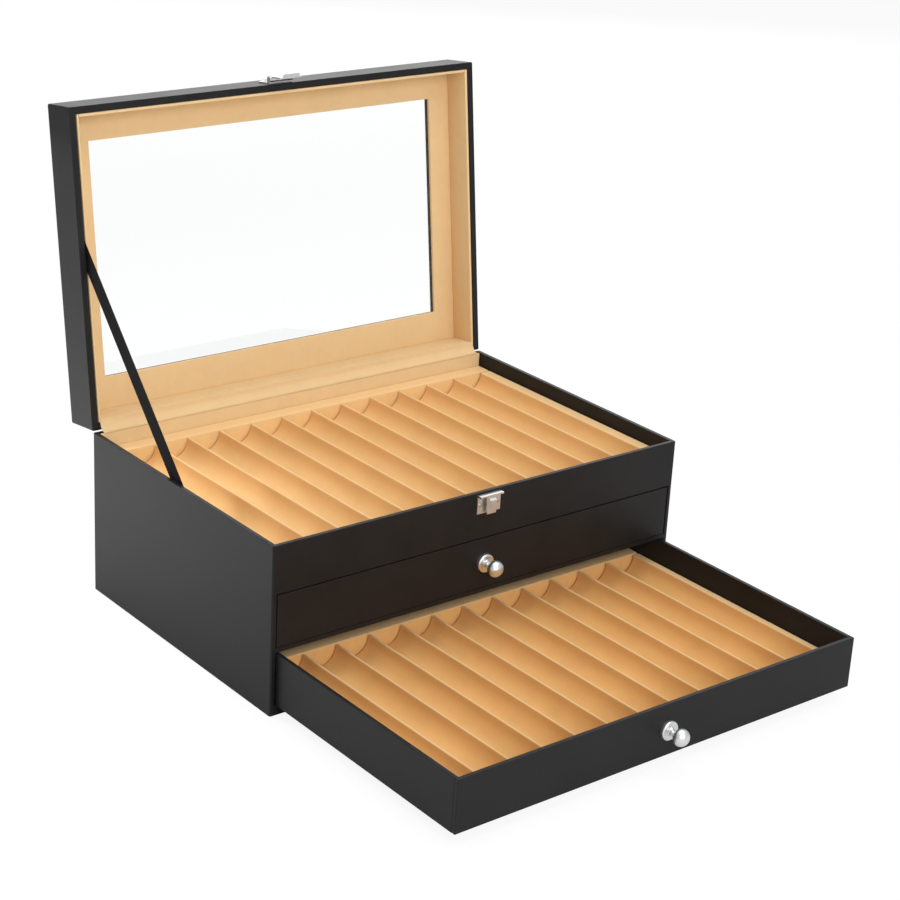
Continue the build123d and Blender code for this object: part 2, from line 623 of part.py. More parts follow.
def latch_keeper():
    """Plate under the rim with a lip, a hanging tongue and the nub that the hasp snaps over."""
    low = KEEPER_TOP_Z - KEEPER_HEIGHT
    lip_z = KEEPER_TOP_Z - KEEPER_LIP
    plate = block(centred(KEEPER_WIDTH), out(0, LATCH_PLATE), (low, KEEPER_TOP_Z))
    holes = [
        screw_hole(x, -HALF_DEPTH - LATCH_PLATE, KEEPER_SCREW_Z, LATCH_PLATE, -1) for x in KEEPER_SCREW_X
    ]
    lip = block(centred(KEEPER_WIDTH), out(LATCH_PLATE, KEEPER_REACH), (lip_z, KEEPER_TOP_Z))
    tongue = block(centred(TONGUE_WIDTH), out(KEEPER_REACH - KEEPER_LIP, KEEPER_REACH), (low, lip_z))
    nub_z = LID_Z - HASP_FLAP_DROP + HASP_BAR + HASP_WINDOW_CLEARANCE
    nub = block(
        centred(NUB_WIDTH), out(KEEPER_REACH, KEEPER_REACH + NUB_REACH), (nub_z, nub_z + NUB_HEIGHT)
    )
    nub = chamfer(nub.edges().filter_by(Axis.X).sort_by(Axis.Y)[:2].sort_by(Axis.Z)[-1], NUB_SLOPE)
    return plate - holes + lip + tongue + nub


def latch_keeper_screws():
    face = -HALF_DEPTH - LATCH_PLATE
    through = LATCH_PLATE + COVER
    return group([screw(x, face, KEEPER_SCREW_Z, through, SCREW_BITE, -1) for x in KEEPER_SCREW_X])


def hasp_base():
    """Plate on the lid's front with the two outer knuckles of the hasp."""
    low = LID_Z + HASP_BASE_LIFT
    plate = block(centred(LATCH_WIDTH), out(0, LATCH_PLATE), (low, low + HASP_BASE_HEIGHT))
    plate = fillet(plate.edges().filter_by(Axis.Y).sort_by(Axis.Z)[2:], PLATE_CORNER_RADIUS)
    inner = HASP_KNUCKLE_WIDTH / 2 + HASP_KNUCKLE_GAP
    for span in ((-LATCH_WIDTH / 2, -inner), (inner, LATCH_WIDTH / 2)):
        plate += block(span, out(0, HASP_PIN_OUT), (HASP_PIN_Z, HASP_PIN_Z + HASP_KNUCKLE_RADIUS))
        plate += rod_x(HASP_KNUCKLE_RADIUS, span, HASP_PIN_Y, HASP_PIN_Z)
    plate -= rod_x(HASP_PIN_RADIUS + PIN_FIT, centred(2 * LATCH_WIDTH), HASP_PIN_Y, HASP_PIN_Z)
    face = -HALF_DEPTH - LATCH_PLATE
    return plate - [screw_hole(x, face, HASP_SCREW_Z, LATCH_PLATE, -1) for x in HASP_SCREW_X]


def hasp_base_screws():
    face = -HALF_DEPTH - LATCH_PLATE
    through = LATCH_PLATE + COVER
    return group([screw(x, face, HASP_SCREW_Z, through, SCREW_BITE, -1) for x in HASP_SCREW_X])


def hasp_flap():
    """Flap that hangs from the middle knuckle, with a window for the nub and a lip to lift it by."""
    front = HASP_PIN_OUT + HASP_KNUCKLE_RADIUS
    back = front - HASP_FLAP
    shoulder = HASP_PIN_Z - HASP_KNUCKLE_RADIUS - HASP_SHOULDER_GAP
    low = LID_Z - HASP_FLAP_DROP
    knuckle = centred(HASP_KNUCKLE_WIDTH)
    flap = face_corners(block(centred(LATCH_WIDTH), out(back, front), (low, shoulder)), PLATE_CORNER_RADIUS)
    flap += block(knuckle, out(back, front), (shoulder - PLATE_CORNER_RADIUS, HASP_PIN_Z))
    flap += rod_x(HASP_KNUCKLE_RADIUS, knuckle, HASP_PIN_Y, HASP_PIN_Z)
    flap -= rod_x(HASP_PIN_RADIUS + PIN_RUNNING_FIT, centred(LATCH_WIDTH), HASP_PIN_Y, HASP_PIN_Z)
    window_x = centred(NUB_WIDTH + 2 * HASP_WINDOW_CLEARANCE)
    window_z = (low + HASP_BAR, low + HASP_BAR + NUB_HEIGHT + 2 * HASP_WINDOW_CLEARANCE)
    flap -= block(window_x, out(back - HASP_FLAP, front + HASP_FLAP), window_z)
    lip_x = centred(LATCH_WIDTH - 4 * PLATE_CORNER_RADIUS)
    lip = block(lip_x, out(front - HASP_FLAP / 2, front + HASP_LIFT_LIP), (low, low + HASP_FLAP))
    return flap + fillet(lip.edges().filter_by(Axis.Z).sort_by(Axis.Y)[:2], PLATE_CORNER_RADIUS)


def hasp_pin():
    return rod_x(HASP_PIN_RADIUS, centred(LATCH_WIDTH), HASP_PIN_Y, HASP_PIN_Z)


# ---- ribbon and cloth ----
def lid_stay_ribbon():
    """Ribbon from behind the top tray to behind the lid's left lining, pulled straight."""
    case_y, case_z = HINGE_Y - RIBBON_CASE_SETBACK, CASE_HEIGHT
    lid_y, lid_z = lid_point(RIBBON_LID_REACH, RIBBON_LID_LIFT)
    case_x = RIBBON_CASE_GAP + RIBBON / 2 - BAY_X
    lid_x = RIBBON_LID_GAP + RIBBON / 2 - LID_BAY_X
    hold = Vector(case_x, case_y, case_z)
    span = Vector(lid_x, lid_y, lid_z) - hold
    length = span.length + RIBBON_CASE_TUCK + RIBBON_LID_TUCK
    middle = hold + span.normalized() * (length / 2 - RIBBON_CASE_TUCK)
    along = Plane(origin=middle, x_dir=span, z_dir=Vector(1, 0, 0) - span * (span.X / span.length**2))
    return along * Box(length, RIBBON_WIDTH, RIBBON)


def cloth_path():
    """Middle line of the hinge cloth, Y and Z: over the rim, up over the knuckles, up the lid's edge."""
    level = CASE_HEIGHT + CLOTH / 2
    bend_y, bend_z = lid_point(CLOTH_BEND_RISE, -CLOTH)
    end_y, end_z = lid_point(HALF_DEPTH - LID_BAY_Y + LINING_GAP + WALL_LINING, -CLOTH)
    return [
        (BAY_Y - BACK_LINING, level),
        (HALF_DEPTH - CLOTH_BEND_SETBACK, level),
        (bend_y, bend_z),
        (end_y, end_z),
    ]


def hinge_cloth():
    """Velvet strip that covers the gap between the case's back and the lid."""
    half = BAY_X - CLOTH_SIDE_GAP
    strip = trace(Polyline(*cloth_path()), CLOTH)
    return extrude(Plane.YZ.offset(-half) * strip, 2 * half)


# ---- the whole chest ----
def chest():
    boards = case_boards()
    lid_frame = lid_boards()
    pieces = dict(boards)
    pieces["case_cover"] = case_cover(boards)
    pieces["base_felt"] = base_felt()
    pieces.update(top_tray())
    pieces["hinge_case_leaves"] = hinge_leaves(-1, 0, PIN_FIT, CASE_HINGE_SCREW_Z)
    pieces["hinge_case_screws"] = hinge_screws(CASE_HINGE_SCREW_Z)
    pieces["hinge_pins"] = hinge_pins()
    pieces["latch_keeper"] = latch_keeper()
    pieces["latch_keeper_screws"] = latch_keeper_screws()
    pieces["hinge_cloth"] = hinge_cloth()
    pieces["lid_stay_ribbon"] = lid_stay_ribbon()
    closed_lid = dict(lid_frame)
    closed_lid["lid_cover"] = lid_cover(lid_frame)
    closed_lid.update(lid_glazing())
    closed_lid["lid_wall_linings"] = lid_wall_linings()
    closed_lid["hinge_lid_leaves"] = hinge_leaves(1, 1, PIN_RUNNING_FIT, LID_HINGE_SCREW_Z)
    closed_lid["hinge_lid_screws"] = hinge_screws(LID_HINGE_SCREW_Z)
    closed_lid["hasp_base"] = hasp_base()
    closed_lid["hasp_base_screws"] = hasp_base_screws()
    closed_lid["hasp_pin"] = hasp_pin()
    closed_lid["hasp_flap"] = hasp_flap()
    pieces.update({name: swing_lid(piece) for name, piece in closed_lid.items()})
    pieces.update(drawer("upper_drawer", UPPER_BAY_Z, 0))
    pieces.update(drawer("lower_drawer", LOWER_BAY_Z, DRAWER_PULL))
    return pieces


os.makedirs("parts", exist_ok=True)
for node, shape in chest().items():
    export_step(shape, f"parts/{node}.step")
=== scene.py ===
"""Looks of the pen collector chest.

Leatherette, velvet, ribbon, glass and nickel around the CAD frame.
"""

import json
from math import cos, pi, radians, sin

import bmesh
import bpy
from mathutils import Matrix, Vector, noise

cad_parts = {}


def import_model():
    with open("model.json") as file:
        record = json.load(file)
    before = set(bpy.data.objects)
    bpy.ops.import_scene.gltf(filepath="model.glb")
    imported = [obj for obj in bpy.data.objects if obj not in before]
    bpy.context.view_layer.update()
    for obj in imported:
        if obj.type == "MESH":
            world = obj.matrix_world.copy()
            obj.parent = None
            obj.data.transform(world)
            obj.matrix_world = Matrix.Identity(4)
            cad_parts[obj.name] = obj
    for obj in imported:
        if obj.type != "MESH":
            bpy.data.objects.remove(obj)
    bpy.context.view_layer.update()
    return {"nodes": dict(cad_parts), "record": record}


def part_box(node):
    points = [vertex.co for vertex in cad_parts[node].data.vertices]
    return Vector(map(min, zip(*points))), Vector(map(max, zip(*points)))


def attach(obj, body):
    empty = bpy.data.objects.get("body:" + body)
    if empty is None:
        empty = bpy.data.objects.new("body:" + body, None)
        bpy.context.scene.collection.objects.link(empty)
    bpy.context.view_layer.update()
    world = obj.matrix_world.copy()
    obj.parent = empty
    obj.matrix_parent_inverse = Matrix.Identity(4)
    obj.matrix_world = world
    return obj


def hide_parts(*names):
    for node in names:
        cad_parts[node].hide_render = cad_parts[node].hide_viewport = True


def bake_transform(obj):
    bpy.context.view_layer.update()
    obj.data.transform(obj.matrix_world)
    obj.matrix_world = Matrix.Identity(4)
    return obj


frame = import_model()

# ---- sizes, in metres ----
GROOVES = 12
GROOVE_PITCH = 0.02633
GROOVE_RADIUS = 0.0123
GROOVE_STEPS = 16  # facets round one groove
CREST_STEPS = 6  # facets over one ridge
TRAY_ROW = 0.0035  # spacing of the rows along a groove
TRAY_EDGE = 0.0008  # rounding of the velvet over the tray's edges
RAIL_CREASE = 0.0015  # slit where the grooves meet the strip across their ends
PILE_WOBBLE = 0.00022  # how far a ridge wanders from a straight line
PILE_LUMP = 0.00008
WOBBLE_SCALE = (38, 14)  # of the noise, per metre in X and Y
LUMP_SCALE = (160, 90)
LUMP_SEED = 7.3  # added to the tray's own seed
WALL_LINING = 0.0016
LINING_FILL = 0.0006
PANEL_EDGE = 0.0006  # rounding of velvet wrapped over card
PANEL_SINK = 0.00005  # velvet panels stay this far inside the solid they stand for
WINDOW_MARGIN = 0.002  # points further in than this belong to the window's hole
FOLD_ANGLE = 0.5  # radians; edges folded more than this are rounded
SHARP_ANGLE = radians(40)  # edges over this aren't shaded smooth

RIBBON_WIDTH = 0.012
RIBBON_THICK = 0.0004
RIBBON_CUP = 0.00012  # hollow across the ribbon
RIBBON_SELVAGE = 0.34  # share of the thickness on each side, at the edges
RIBBON_STEPS = 90
RIBBON_ACROSS = 8
CLOTH_THICK = 0.0003
CLOTH_COLUMNS = 120
CLOTH_ROUNDS = 3  # times its corners are cut off
CLOTH_PUFF = 0.0003  # how far the cloth stands off between its glued edges
CLOTH_NOISE = (45, 0.12, 3.1)  # per metre along the hinge, per step across it, and a seed
CLOTH_RIM_END = 0.1082  # Y where the cloth leaves the rim
CLOTH_LID_START = 0.0032  # both from the lid's back face
CLOTH_LID_END = 0.0072

OPEN_ANGLE = radians(97.1)
HINGE_Y = 0.1107
HINGE_Z = 0.1194
HALF_DEPTH = 0.1105
LID_Z = 0.1198

CAMERA_PLACE = Vector((-0.85717, -1.11370, 0.67524))
CAMERA_AZIMUTH = radians(-39.34)
CAMERA_ELEVATION = radians(21.857)
CAMERA_ROLL = radians(3.173)
CAMERA_LENS = 87.08
CAMERA_SENSOR = 36.0

WORLD_LEVEL = 0.50
GLOSS_LEVEL = 0.85  # of the surround in reflections
FLOOR_SIZE = 12.0
FLOOR_LIT = 0.86  # share of plain white in what the camera sees of the floor
WHITE_LEVEL = 1.04  # strength of that white

# Painted shade: groove flanks whose normal points towards -X are turned to a darker, more saturated
# orange, standing in for the shade in the grooves.
FLANK_SHADE_COLOUR = (0.78, 0.385, 0.12)
FLANK_SHADE_FROM = -0.15  # X of the normal where a flank begins to turn to its painted shade colour
FLANK_SHADE_TO = -0.95
FLANK_SHADE_MOST = 0.5  # how far the steepest flank turns to the painted shade
# Pressed pile and painted highlight: the ridge tops are turned paler, partly for pressed pile and partly
# for light caught on the crests.
CREST_WEAR_AND_HIGHLIGHT_COLOUR = (0.89, 0.60, 0.30)
CREST_WEAR_AND_HIGHLIGHT_FROM = 0.92  # share of the tray's height where the paler crests, pressed pile with a painted highlight, begin


# ---- material helpers ----
def math_node(tree, operation, a, b):
    """A math node on two numbers or sockets."""
    node = tree.nodes.new("ShaderNodeMath")
    node.operation = operation
    for socket, value in zip(node.inputs, (a, b)):
        if isinstance(value, (int, float)):
            socket.default_value = value
        else:
            tree.links.new(value, socket)
    return node.outputs[0]


class Nodes:
    """A new node material with its shader, and short calls to add nodes to it."""

    def __init__(self, name):
        self.material = bpy.data.materials.new(name)
        self.material.use_nodes = True
        self.tree = self.material.node_tree
        self.tree.nodes.clear()
        self.output = self.add("ShaderNodeOutputMaterial")
        self.shader = self.add("ShaderNodeBsdfPrincipled")
        self.link(self.shader.outputs[0], self.output.inputs["Surface"])
        self.place = self.add("ShaderNodeTexCoord").outputs["Object"]

    def add(self, kind, **settings):
        """A new node with its settings."""
        node = self.tree.nodes.new(kind)
        for key, value in settings.items():
            setattr(node, key, value)
        return node

    def link(self, source, target):
        """Joins an output to an input."""
        self.tree.links.new(source, target)

    def set(self, **values):
        """Constant values on the shader's own sockets."""
        for key, value in values.items():
            self.shader.inputs[key.replace("_", " ")].default_value = value

    def noise(self, scale, detail=4.0, roughness=0.55, place=None):
        """Noise in object coordinates, or in those that are given."""
        node = self.add("ShaderNodeTexNoise")
        node.inputs["Scale"].default_value = scale
        node.inputs["Detail"].default_value = detail
        node.inputs["Roughness"].default_value = roughness
        self.link(place or self.place, node.inputs["Vector"])
        return node.outputs["Fac"]

    def stretched(self, scale):
        """Object coordinates stretched by a factor for each axis."""
        node = self.add("ShaderNodeMapping")
        node.inputs["Scale"].default_value = scale
        self.link(self.place, node.inputs["Vector"])
        return node.outputs["Vector"]

    def voronoi(self, scale, feature):
        """Distances of a cell pattern in object coordinates."""
        node = self.add("ShaderNodeTexVoronoi", feature=feature)
        node.inputs["Scale"].default_value = scale
        self.link(self.place, node.inputs["Vector"])
        return node.outputs["Distance"]

    def math(self, operation, a, b):
        """A math node in this material."""
        return math_node(self.tree, operation, a, b)

    def ramp(self, source, stops):
        """A colour ramp from (place, colour) stops."""
        node = self.add("ShaderNodeValToRGB")
        elements = node.color_ramp.elements
        while len(elements) < len(stops):
            elements.new(0.5)
        for element, (place, colour) in zip(elements, stops):
            element.position = place
            element.color = (*colour, 1.0)
        self.link(source, node.inputs["Fac"])
        return node.outputs["Color"]

    def range(self, source, low, high):
        """Maps 0..1 noise to low..high."""
        node = self.add("ShaderNodeMapRange")
        node.inputs["To Min"].default_value = low
        node.inputs["To Max"].default_value = high
        self.link(source, node.inputs["Value"])
        return node.outputs["Result"]

    def bump(self, height, strength, distance, under=None):
        """The normal of a relief, on top of another normal if one is given."""
        node = self.add("ShaderNodeBump")
        node.inputs["Strength"].default_value = strength
        node.inputs["Distance"].default_value = distance
        self.link(height, node.inputs["Height"])
        if under is not None:
            self.link(under, node.inputs["Normal"])
        return node.outputs["Normal"]

    def mix(self, factor, base, colour):
        """The base colour turned towards another by a factor."""
        node = self.add("ShaderNodeMix", data_type="RGBA")
        self.link(factor, node.inputs["Factor"])
        self.link(base, node.inputs["A"])
        node.inputs["B"].default_value = (*colour, 1.0)
        return node.outputs["Result"]

    def paint_flank_shade_and_crest_highlight(self, shade):
        """Painted shade and highlight: a darker orange down the groove sides that face -X, for shade,
        and paler crests, for pressed pile and a painted highlight.
        """
        source = self.add("ShaderNodeTexCoord")
        facing = self.add("ShaderNodeSeparateXYZ")
        self.link(source.outputs["Normal"], facing.inputs[0])
        height = self.add("ShaderNodeSeparateXYZ")
        self.link(source.outputs["Generated"], height.inputs[0])
        flank = self.add("ShaderNodeMapRange")
        flank.inputs["From Min"].default_value = FLANK_SHADE_FROM
        flank.inputs["From Max"].default_value = FLANK_SHADE_TO
        flank.inputs["To Max"].default_value = FLANK_SHADE_MOST
        self.link(facing.outputs["X"], flank.inputs["Value"])
        crest = self.add("ShaderNodeMapRange", interpolation_type="SMOOTHSTEP")
        crest.inputs["From Min"].default_value = CREST_WEAR_AND_HIGHLIGHT_FROM
        crest.inputs["From Max"].default_value = 1.0
        self.link(height.outputs["Z"], crest.inputs["Value"])
        flank_shaded = self.mix(flank.outputs["Result"], shade, FLANK_SHADE_COLOUR)
        return self.mix(crest.outputs["Result"], flank_shaded, CREST_WEAR_AND_HIGHLIGHT_COLOUR)

    def finish(self, colour, roughness, normal=None):
        """Links the shader's colour, roughness and, if given, normal."""
        self.link(colour, self.shader.inputs["Base Color"])
        self.link(roughness, self.shader.inputs["Roughness"])
        if normal is not None:
            self.link(normal, self.shader.inputs["Normal"])
        return self.material


def tint(colour, factor):
    """A colour made darker or lighter."""
    return tuple(channel * factor for channel in colour)


# ---- materials ----
def leatherette():
    """Black artificial leather: a pebbled grain about a millimetre wide under a satin film."""
    n = Nodes("leatherette")
    n.set(Specular_IOR_Level=0.22)
    pebbles = n.voronoi(1150.0, "SMOOTH_F1")
    creases = n.voronoi(420.0, "DISTANCE_TO_EDGE")
    pores = n.noise(3800.0, 3.0)
    patches = n.noise(28.0, 5.0)
    grain = n.math("ADD", n.math("MULTIPLY", pebbles, 0.7), n.math("MULTIPLY", pores, 0.35))
    grain = n.math("ADD", grain, n.math("MULTIPLY", n.math("MINIMUM", creases, 0.12), 1.6))
    black = (0.0100, 0.0094, 0.0096)
    colour = n.ramp(patches, [(0.3, tint(black, 0.8)), (0.7, tint(black, 1.25))])
    roughness = n.range(patches, 0.44, 0.54)
    return n.finish(colour, roughness, n.bump(grain, 0.3, 0.00012))


def velvet(name, colour, sheen, worn, grooved=False):
    """Short-pile velvet: brushed patches, single tufts, and a soft sheen at grazing angles."""
    n = Nodes(name)
    n.set(Sheen_Weight=sheen, Sheen_Roughness=0.45, Sheen_Tint=(1.0, 0.74, 0.46, 1.0))
    n.set(Specular_IOR_Level=0.12)
    brushed = n.noise(46.0, 5.0, 0.6)
    streaks = n.noise(170.0, 3.0, 0.5, n.stretched((1.0, 0.16, 1.0)))
    tufts = n.noise(2400.0, 2.0, 0.7)
    nap = n.math("ADD", n.math("MULTIPLY", brushed, 0.55), n.math("MULTIPLY", streaks, 0.3))
    nap = n.math("ADD", nap, n.math("MULTIPLY", tufts, 0.15))
    stops = [(0.30, tint(colour, 1 - worn)), (0.52, colour), (0.72, tint(colour, 1 + worn / 2))]
    shade = n.ramp(nap, stops)
    # Grooved trays get painted shade down one side of each groove and a painted highlight on the crests.
    if grooved:
        shade = n.paint_flank_shade_and_crest_highlight(shade)
    roughness = n.range(tufts, 0.82, 0.97)
    pile = n.bump(tufts, 0.35, 0.00025)
    return n.finish(shade, roughness, n.bump(brushed, 0.15, 0.0009, pile))


def ribbon_weave():
    """Black grosgrain: fine ribs across the ribbon."""
    n = Nodes("ribbon_weave")
    n.set(Specular_IOR_Level=0.06)
    coordinates = n.add("ShaderNodeTexCoord").outputs["UV"]
    ribs = n.add("ShaderNodeTexWave", wave_type="BANDS", bands_direction="X")
    ribs.inputs["Scale"].default_value = 560.0
    ribs.inputs["Distortion"].default_value = 0.6
    n.link(coordinates, ribs.inputs["Vector"])
    threads = n.add("ShaderNodeTexWave", wave_type="BANDS", bands_direction="Y")
    threads.inputs["Scale"].default_value = 900.0
    n.link(coordinates, threads.inputs["Vector"])
    weave = n.math("ADD", ribs.outputs["Fac"], n.math("MULTIPLY", threads.outputs["Fac"], 0.4))
    black = (0.0062, 0.0056, 0.0055)
    colour = n.ramp(weave, [(0.1, tint(black, 0.6)), (0.9, tint(black, 1.7))])
    return n.finish(colour, n.range(n.noise(900.0), 0.65, 0.8), n.bump(weave, 0.6, 0.00012))


def nickel():
    """Polished nickel plate with faint polishing marks and a little handling haze."""
    n = Nodes("nickel")
    n.set(Metallic=1.0)
    haze = n.noise(210.0, 4.0)
    marks = n.noise(5200.0, 2.0, 0.6, n.stretched((1.0, 0.12, 1.0)))
    metal = (0.77, 0.775, 0.775)
    colour = n.ramp(haze, [(0.3, tint(metal, 0.93)), (0.7, metal)])
    roughness = n.range(haze, 0.30, 0.42)
    return n.finish(colour, roughness, n.bump(marks, 0.05, 0.00004))


def steel():
    """Plain turned steel of screws and pins."""
    n = Nodes("steel")
    n.set(Metallic=1.0)
    turned = n.noise(2600.0, 3.0)
    metal = (0.60, 0.585, 0.56)
    colour = n.ramp(turned, [(0.25, tint(metal, 0.8)), (0.75, metal)])
    return n.finish(colour, n.range(turned, 0.26, 0.42), n.bump(turned, 0.12, 0.00005))


def glass():
    """Clear float glass with the faintest green and a few specks of dust."""
    n = Nodes("glass")
    n.set(Transmission_Weight=1.0, IOR=1.45)
    dust = n.noise(700.0, 6.0, 0.7)
    clear = (0.985, 0.995, 0.99)
    colour = n.ramp(dust, [(0.70, clear), (0.95, tint(clear, 0.93))])
    return n.finish(colour, n.range(dust, 0.0, 0.02))


def board(name, colour):
    """Fibre board or card with pressed fibres."""
    n = Nodes(name)
    n.set(Specular_IOR_Level=0.3)
    fibres = n.noise(900.0, 5.0, 0.65, n.stretched((1.0, 0.35, 1.0)))
    blotches = n.noise(60.0, 3.0)
    mixed = n.math("ADD", n.math("MULTIPLY", fibres, 0.6), n.math("MULTIPLY", blotches, 0.4))
    shade = n.ramp(mixed, [(0.3, tint(colour, 0.75)), (0.7, tint(colour, 1.15))])
    return n.finish(shade, n.range(fibres, 0.7, 0.9), n.bump(fibres, 0.2, 0.0001))


def felt():
    """Black wool felt under the base."""
    n = Nodes("felt")
    n.set(Sheen_Weight=0.3, Sheen_Roughness=0.6)
    wool = n.noise(1500.0, 6.0, 0.75)
    colour = n.ramp(wool, [(0.3, (0.012, 0.012, 0.013)), (0.75, (0.035, 0.034, 0.036))])
    return n.finish(colour, n.range(wool, 0.85, 1.0), n.bump(wool, 0.5, 0.0003))


LEATHERETTE = leatherette()
TRAY_VELVET = velvet("tray_velvet", (0.83, 0.56, 0.265), 0.20, 0.10, grooved=True)
# Painted shade: the drawers' velvet is a darker, more saturated copy of the tray velvet, standing in for
# the shade inside the drawer bays.
SHADED_DRAWER_VELVET = velvet("drawer_velvet_painted_shade", (0.82, 0.495, 0.195), 0.18, 0.12, grooved=True)
LINING_VELVET = velvet("lining_velvet", (0.79, 0.565, 0.305), 0.15, 0.05)
RIBBON_WEAVE = ribbon_weave()
NICKEL = nickel()
STEEL = steel()
GLASS = glass()
BLACK_BOARD = board("black_board", (0.022, 0.020, 0.019))
CARD = board("card", (0.50, 0.41, 0.29))
FELT = felt()

SLOT_MATERIALS = {
    "leatherette": LEATHERETTE,
    "covered_board": LEATHERETTE,
    "black_board": BLACK_BOARD,
    "velvet_tray": TRAY_VELVET,
    "velvet_lining": LINING_VELVET,
    "velvet_cloth": LINING_VELVET,
    "ribbon": RIBBON_WEAVE,
    "glass": GLASS,
    "card": CARD,
    "felt": FELT,
    "nickel": NICKEL,
    "steel": STEEL,
}


def dress_cad_nodes():
    """Every carried-over solid takes the material of its slot."""
    for part in frame["record"]["subparts"]:
        mesh = frame["nodes"][part["node"]].data
        mesh.materials.clear()
        mesh.materials.append(SLOT_MATERIALS[part["material_slot"]])


# ---- mesh helpers ----
def add_object(name, mesh_builder, material, body):
    """Finishes a bmesh as an object with its material and body."""
    bmesh.ops.recalc_face_normals(mesh_builder, faces=mesh_builder.faces)
    mesh = bpy.data.meshes.new(name)
    mesh_builder.to_mesh(mesh)
    mesh_builder.free()
    mesh.materials.append(material)
    piece = bpy.data.objects.new(name, mesh)
    bpy.context.scene.collection.objects.link(piece)
    if body:
        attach(piece, body)
    return piece


def shade_by_angle(piece):
    """Smooth shading that keeps steep edges sharp."""
    for polygon in piece.data.polygons:
        polygon.use_smooth = True
    piece.data.set_sharp_from_angle(angle=SHARP_ANGLE)


def arc(centre, radius, start, end, steps):
    """Points round an arc in X and Z, both ends included."""
    angles = [start + (end - start) * i / steps for i in range(steps + 1)]
    return [(centre[0] + radius * cos(a), centre[1] + radius * sin(a)) for a in angles]


def loft_rows(builder, rows):
    """Quads between equal rows of points, which close on themselves, and caps at both ends."""
    loops = [[builder.verts.new(point) for point in row] for row in rows]
    count = len(rows[0])
    for near, far in zip(loops, loops[1:]):
        for i in range(count):
            following = (i + 1) % count
            builder.faces.new((near[i], near[following], far[following], far[i]))
    builder.faces.new(list(reversed(loops[0])))
    builder.faces.new(loops[-1])


# ---- velvet trays ----
def groove_outline(half_width, base, top):
    """The X-Z outline of a tray's velvet, with a flat strip at each side of the grooves."""
    crest = GROOVE_PITCH / 2 - GROOVE_RADIUS
    level = top - crest
    first = -GROOVES * GROOVE_PITCH / 2
    corner = (TRAY_EDGE - half_width, top - TRAY_EDGE)
    outline = [(-half_width, base)] + arc(corner, TRAY_EDGE, pi, pi / 2, 3)
    outline += arc((first, level), crest, pi / 2, 0, CREST_STEPS // 2)
    for groove in range(GROOVES):
        middle = first + (groove + 0.5) * GROOVE_PITCH
        outline += arc((middle, level), GROOVE_RADIUS, pi, 2 * pi, GROOVE_STEPS)[1:]
        last = groove == GROOVES - 1
        end = pi / 2 if last else 0
        steps = CREST_STEPS // 2 if last else CREST_STEPS
        outline += arc((middle + GROOVE_PITCH / 2, level), crest, pi, end, steps)[1:]
    outline += arc((-corner[0], corner[1]), TRAY_EDGE, pi / 2, 0, 3)
    outline.append((half_width, base))
    return outline


def wander(x, y, seed):
    """How far the velvet strays from the drawn line, sideways and up, in a calm random way."""
    slow = noise.noise(Vector((x * WOBBLE_SCALE[0], y * WOBBLE_SCALE[1], seed)))
    quick = noise.noise(Vector((x * LUMP_SCALE[0], y * LUMP_SCALE[1], seed + LUMP_SEED)))
    return PILE_WOBBLE * slow, PILE_LUMP * quick


def velvet_grooves(tray, body, pile, seed):
    """The grooved velvet of one tray, in place of its ridges."""
    low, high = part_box(tray + "_tray_ridges")
    outline = groove_outline(high[0] - PANEL_SINK, low[2] + PANEL_SINK, high[2] - PANEL_SINK)
    front = low[1] + RAIL_CREASE
    back = high[1] - RAIL_CREASE
    rows = round((back - front) / TRAY_ROW)
    mesh_rows = []
    for row in range(rows + 1):
        y = front + (back - front) * row / rows
        points = []
        for x, z in outline:
            side, up = wander(x, y, seed)
            held = 0.0 if z < low[2] + TRAY_EDGE or abs(x) > high[0] - TRAY_EDGE else 1.0
            points.append((x + side * held, y, z + (up - PILE_LUMP) * held))
        mesh_rows.append(points)
    builder = bmesh.new()
    loft_rows(builder, mesh_rows)
    piece = add_object(tray + "_velvet_grooves", builder, pile, body)
    shade_by_angle(piece)
    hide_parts(tray + "_tray_ridges")


def corners_of(node, turn=None):
    """All the points of a node, turned back to where the lid is closed if a turn is given."""
    points = [v.co.copy() for v in frame["nodes"][node].data.vertices]
    if turn:
        inverse = turn.inverted()
        points = [inverse @ p for p in points]
    return points


def extent(points):
    """Lowest and highest corner of some points."""
    return (
        Vector(min(p[axis] for p in points) for axis in range(3)),
        Vector(max(p[axis] for p in points) for axis in range(3)),
    )


def wrapped_panels(name, node, boxes, material, body, turn=None):
    """Velvet-wrapped card strips with rounded edges, from (low, high) corners, in place of a node."""
    builder = bmesh.new()
    for low, high in boxes:
        size = high - low - 2 * Vector((PANEL_SINK,) * 3)
        strip = bmesh.ops.create_cube(builder, size=1.0)["verts"]
        bmesh.ops.scale(builder, vec=size, verts=strip)
        bmesh.ops.translate(builder, vec=(low + high) / 2, verts=strip)
    bmesh.ops.bevel(
        builder, geom=builder.edges[:], offset=PANEL_EDGE, segments=3, profile=0.5, affect="EDGES"
    )
    if turn:
        bmesh.ops.transform(builder, matrix=turn, verts=builder.verts)
    piece = add_object(name, builder, material, body)
    shade_by_angle(piece)
    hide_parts(node)


def ring_strips(low, high, thick, fill):
    """Two full-length side strips and two between them, all but the left one filled out to the wall."""
    inner_low = low.x + thick
    inner_high = high.x - thick
    high = high + Vector((fill, fill, 0))
    low = low - Vector((0, fill, 0))
    thick += fill
    return [
        (low, Vector((inner_low, high.y, high.z))),
        (Vector((inner_high, low.y, low.z)), high),
        (Vector((inner_low, low.y, low.z)), Vector((inner_high, low.y + thick, high.z))),
        (Vector((inner_low, high.y - thick, low.z)), Vector((inner_high, high.y, high.z))),
    ]


